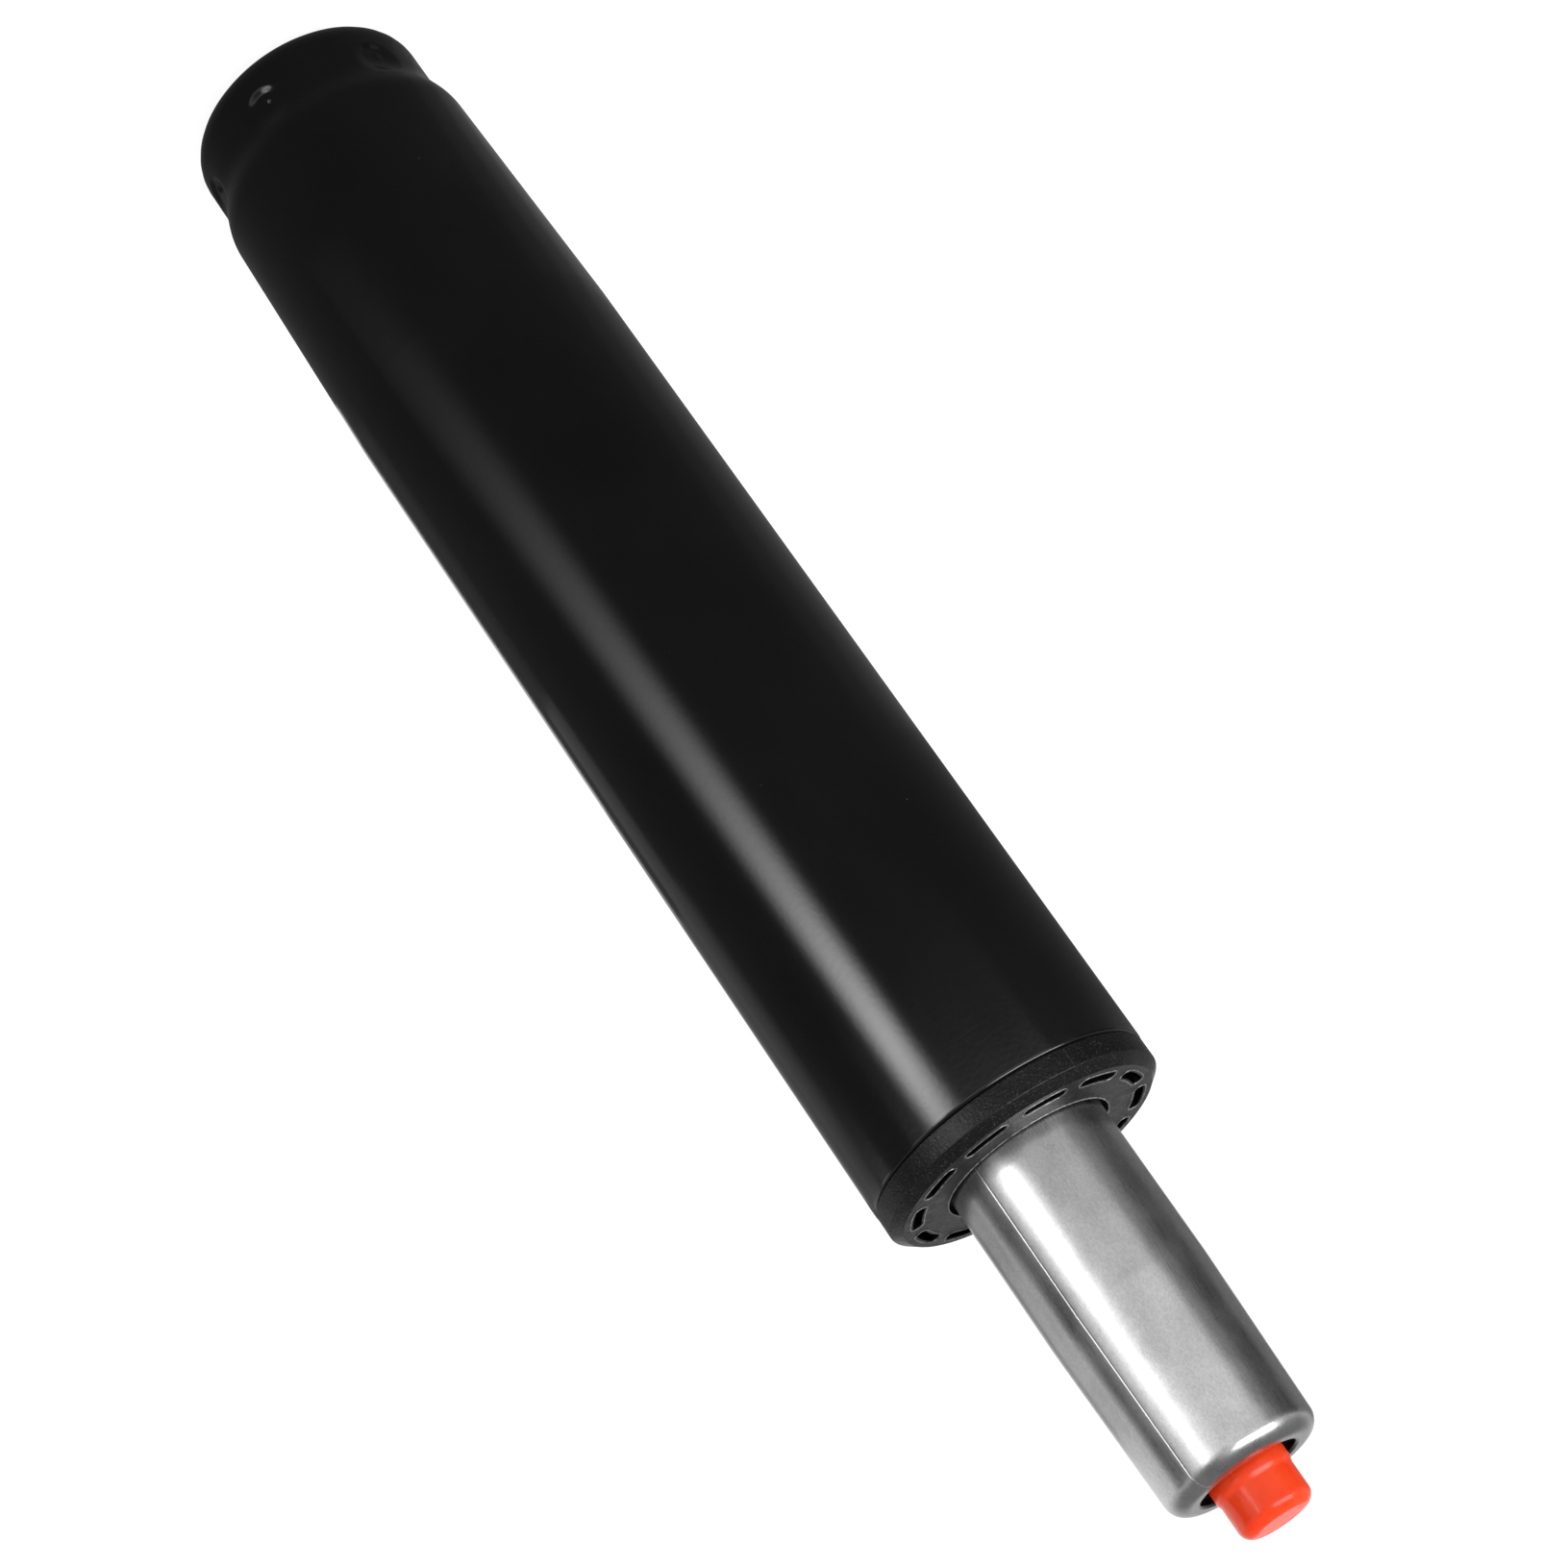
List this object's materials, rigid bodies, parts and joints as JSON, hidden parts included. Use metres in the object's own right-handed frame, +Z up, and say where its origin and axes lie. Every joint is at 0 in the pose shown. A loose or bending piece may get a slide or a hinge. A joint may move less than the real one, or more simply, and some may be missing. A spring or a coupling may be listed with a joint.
{
  "type": "gas lift cylinder",
  "caption": "Chair gas lift cylinder: a tapered column tube with a guide sleeve, swivelling and sliding gas spring spindle, and a release button.",
  "frame": {"origin": "centre of the foot of the column tube, on the plane of its lowest edge", "axes": "+Z up along the cylinder's axis towards the release button; the part is a body of revolution apart from its slots, dimples, ports and clip"},
  "size_m": [0.05, 0.05, 0.3074],
  "materials": {
    "black_paint": "smooth semi-gloss black powder coat",
    "black_plastic": "moulded acetal, fine matt texture",
    "ground_steel": "ground and polished, faint axial marks",
    "drawn_steel": "cold drawn",
    "plated_steel": "zinc plated",
    "bearing_steel": "hardened and polished",
    "chromed_rod": "hard chromed and polished",
    "brass": "stamped",
    "aluminium": "turned",
    "white_plastic": "moulded acetal",
    "rubber": "moulded nitrile",
    "red_plastic": "glossy moulded plastic"
  },
  "bodies": {
    "stand": {"outer_tube": "black_paint", "guide_sleeve": "black_plastic", "support_plate": "plated_steel", "cushion_ring": "rubber", "lower_race": "bearing_steel"},
    "bearing": {"ball_cage": "brass", "bearing_balls": "bearing_steel"},
    "rod": {"upper_race": "bearing_steel", "piston_rod": "chromed_rod", "clip_washer": "plated_steel", "retaining_clip": "plated_steel", "bump_stop": "rubber", "piston": "aluminium", "piston_seal": "rubber", "piston_washer": "plated_steel", "piston_nut": "plated_steel"},
    "spindle": {"pressure_tube": "ground_steel", "end_washer": "plated_steel", "rod_guide": "white_plastic", "rod_seal": "rubber", "seal_spacer": "white_plastic", "inner_cylinder": "drawn_steel", "valve_body": "aluminium", "body_seals": "rubber", "cylinder_seal": "rubber", "pin_guide": "white_plastic", "pin_seals": "rubber"},
    "release": {"valve_pin": "bearing_steel", "release_button": "red_plastic"}
  },
  "joints": [
    {"name": "swivel", "type": "hinge", "parent": "stand", "child": "rod", "pos_m": [0, 0, 0.01373], "axis": [0, 0, 1], "continuous": true},
    {"name": "cage_orbit", "type": "hinge", "parent": "stand", "child": "bearing", "pos_m": [0, 0, 0.01373], "axis": [0, 0, 1], "continuous": true},
    {"name": "height_slide", "type": "slide", "parent": "rod", "child": "spindle", "axis": [0, 0, 1], "range_m": [0, 0.12]},
    {"name": "button_press", "type": "slide", "parent": "spindle", "child": "release", "axis": [0, 0, -1], "range_m": [0, 0.004], "stiffness_N_per_m": 1000, "springref_m": -0.004}
  ],
  "couplings": [
    {"joint": "cage_orbit", "follows": "swivel", "ratio": 0.5}
  ]
}
